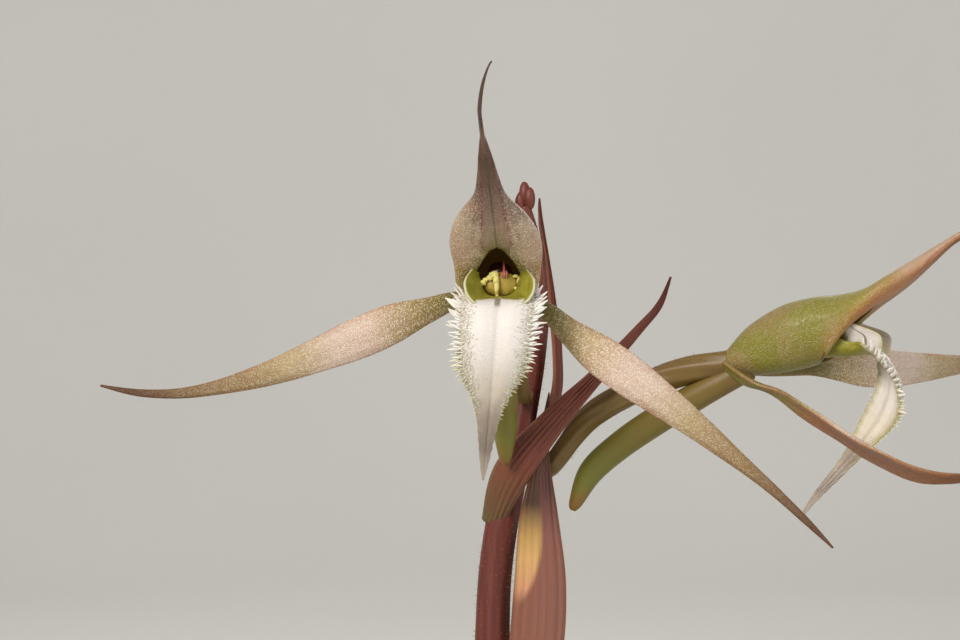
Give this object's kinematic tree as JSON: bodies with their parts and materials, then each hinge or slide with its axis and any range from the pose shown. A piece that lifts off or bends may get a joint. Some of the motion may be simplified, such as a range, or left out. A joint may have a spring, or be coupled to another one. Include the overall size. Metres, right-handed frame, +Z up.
{
  "type": "potted spurred neottia",
  "caption": "Ground orchid in a plain clay pot: long-stalked leaves round a tall scape of hooded, long-tailed flowers with fringed white lips.",
  "frame": {"origin": "centre of the pot's flat base, on the surface it stands on", "axes": "+Z up the plant; the top flower faces -Y; +X is to its right as it is looked at"},
  "size_m": [0.2404, 0.2132, 0.4521],
  "materials": {
    "terracotta": "matt unglazed terracotta",
    "potting_mix": "rough bark chips and leaf mould",
    "root": "matt fleshy root",
    "leaf": "satin leaf",
    "scape": "downy red-brown stem",
    "perianth": "satin, finely granular petal",
    "lip": "satin white petal",
    "column": "satin waxy yellow",
    "bud": "satin bud",
    "capsule": "satin green fruit"
  },
  "bodies": {
    "root": {"pot": "terracotta", "potting_mix": "potting_mix", "rootstock": "root", "scape": "scape", "leaf_1": "leaf", "leaf_2": "leaf", "leaf_3": "leaf", "leaf_4": "leaf", "bud_1": "bud", "bud_2": "bud", "bud_3": "bud", "capsule": "capsule", "flower_1_perianth": "perianth", "flower_1_lip": "lip", "flower_1_column": "column", "flower_2_perianth": "perianth", "flower_2_lip": "lip", "flower_2_column": "column", "flower_3_perianth": "perianth", "flower_3_lip": "lip", "flower_3_column": "column", "flower_4_perianth": "perianth", "flower_4_lip": "lip", "flower_4_column": "column", "flower_5_perianth": "perianth", "flower_5_lip": "lip", "flower_5_column": "column"}
  },
  "joints": []
}
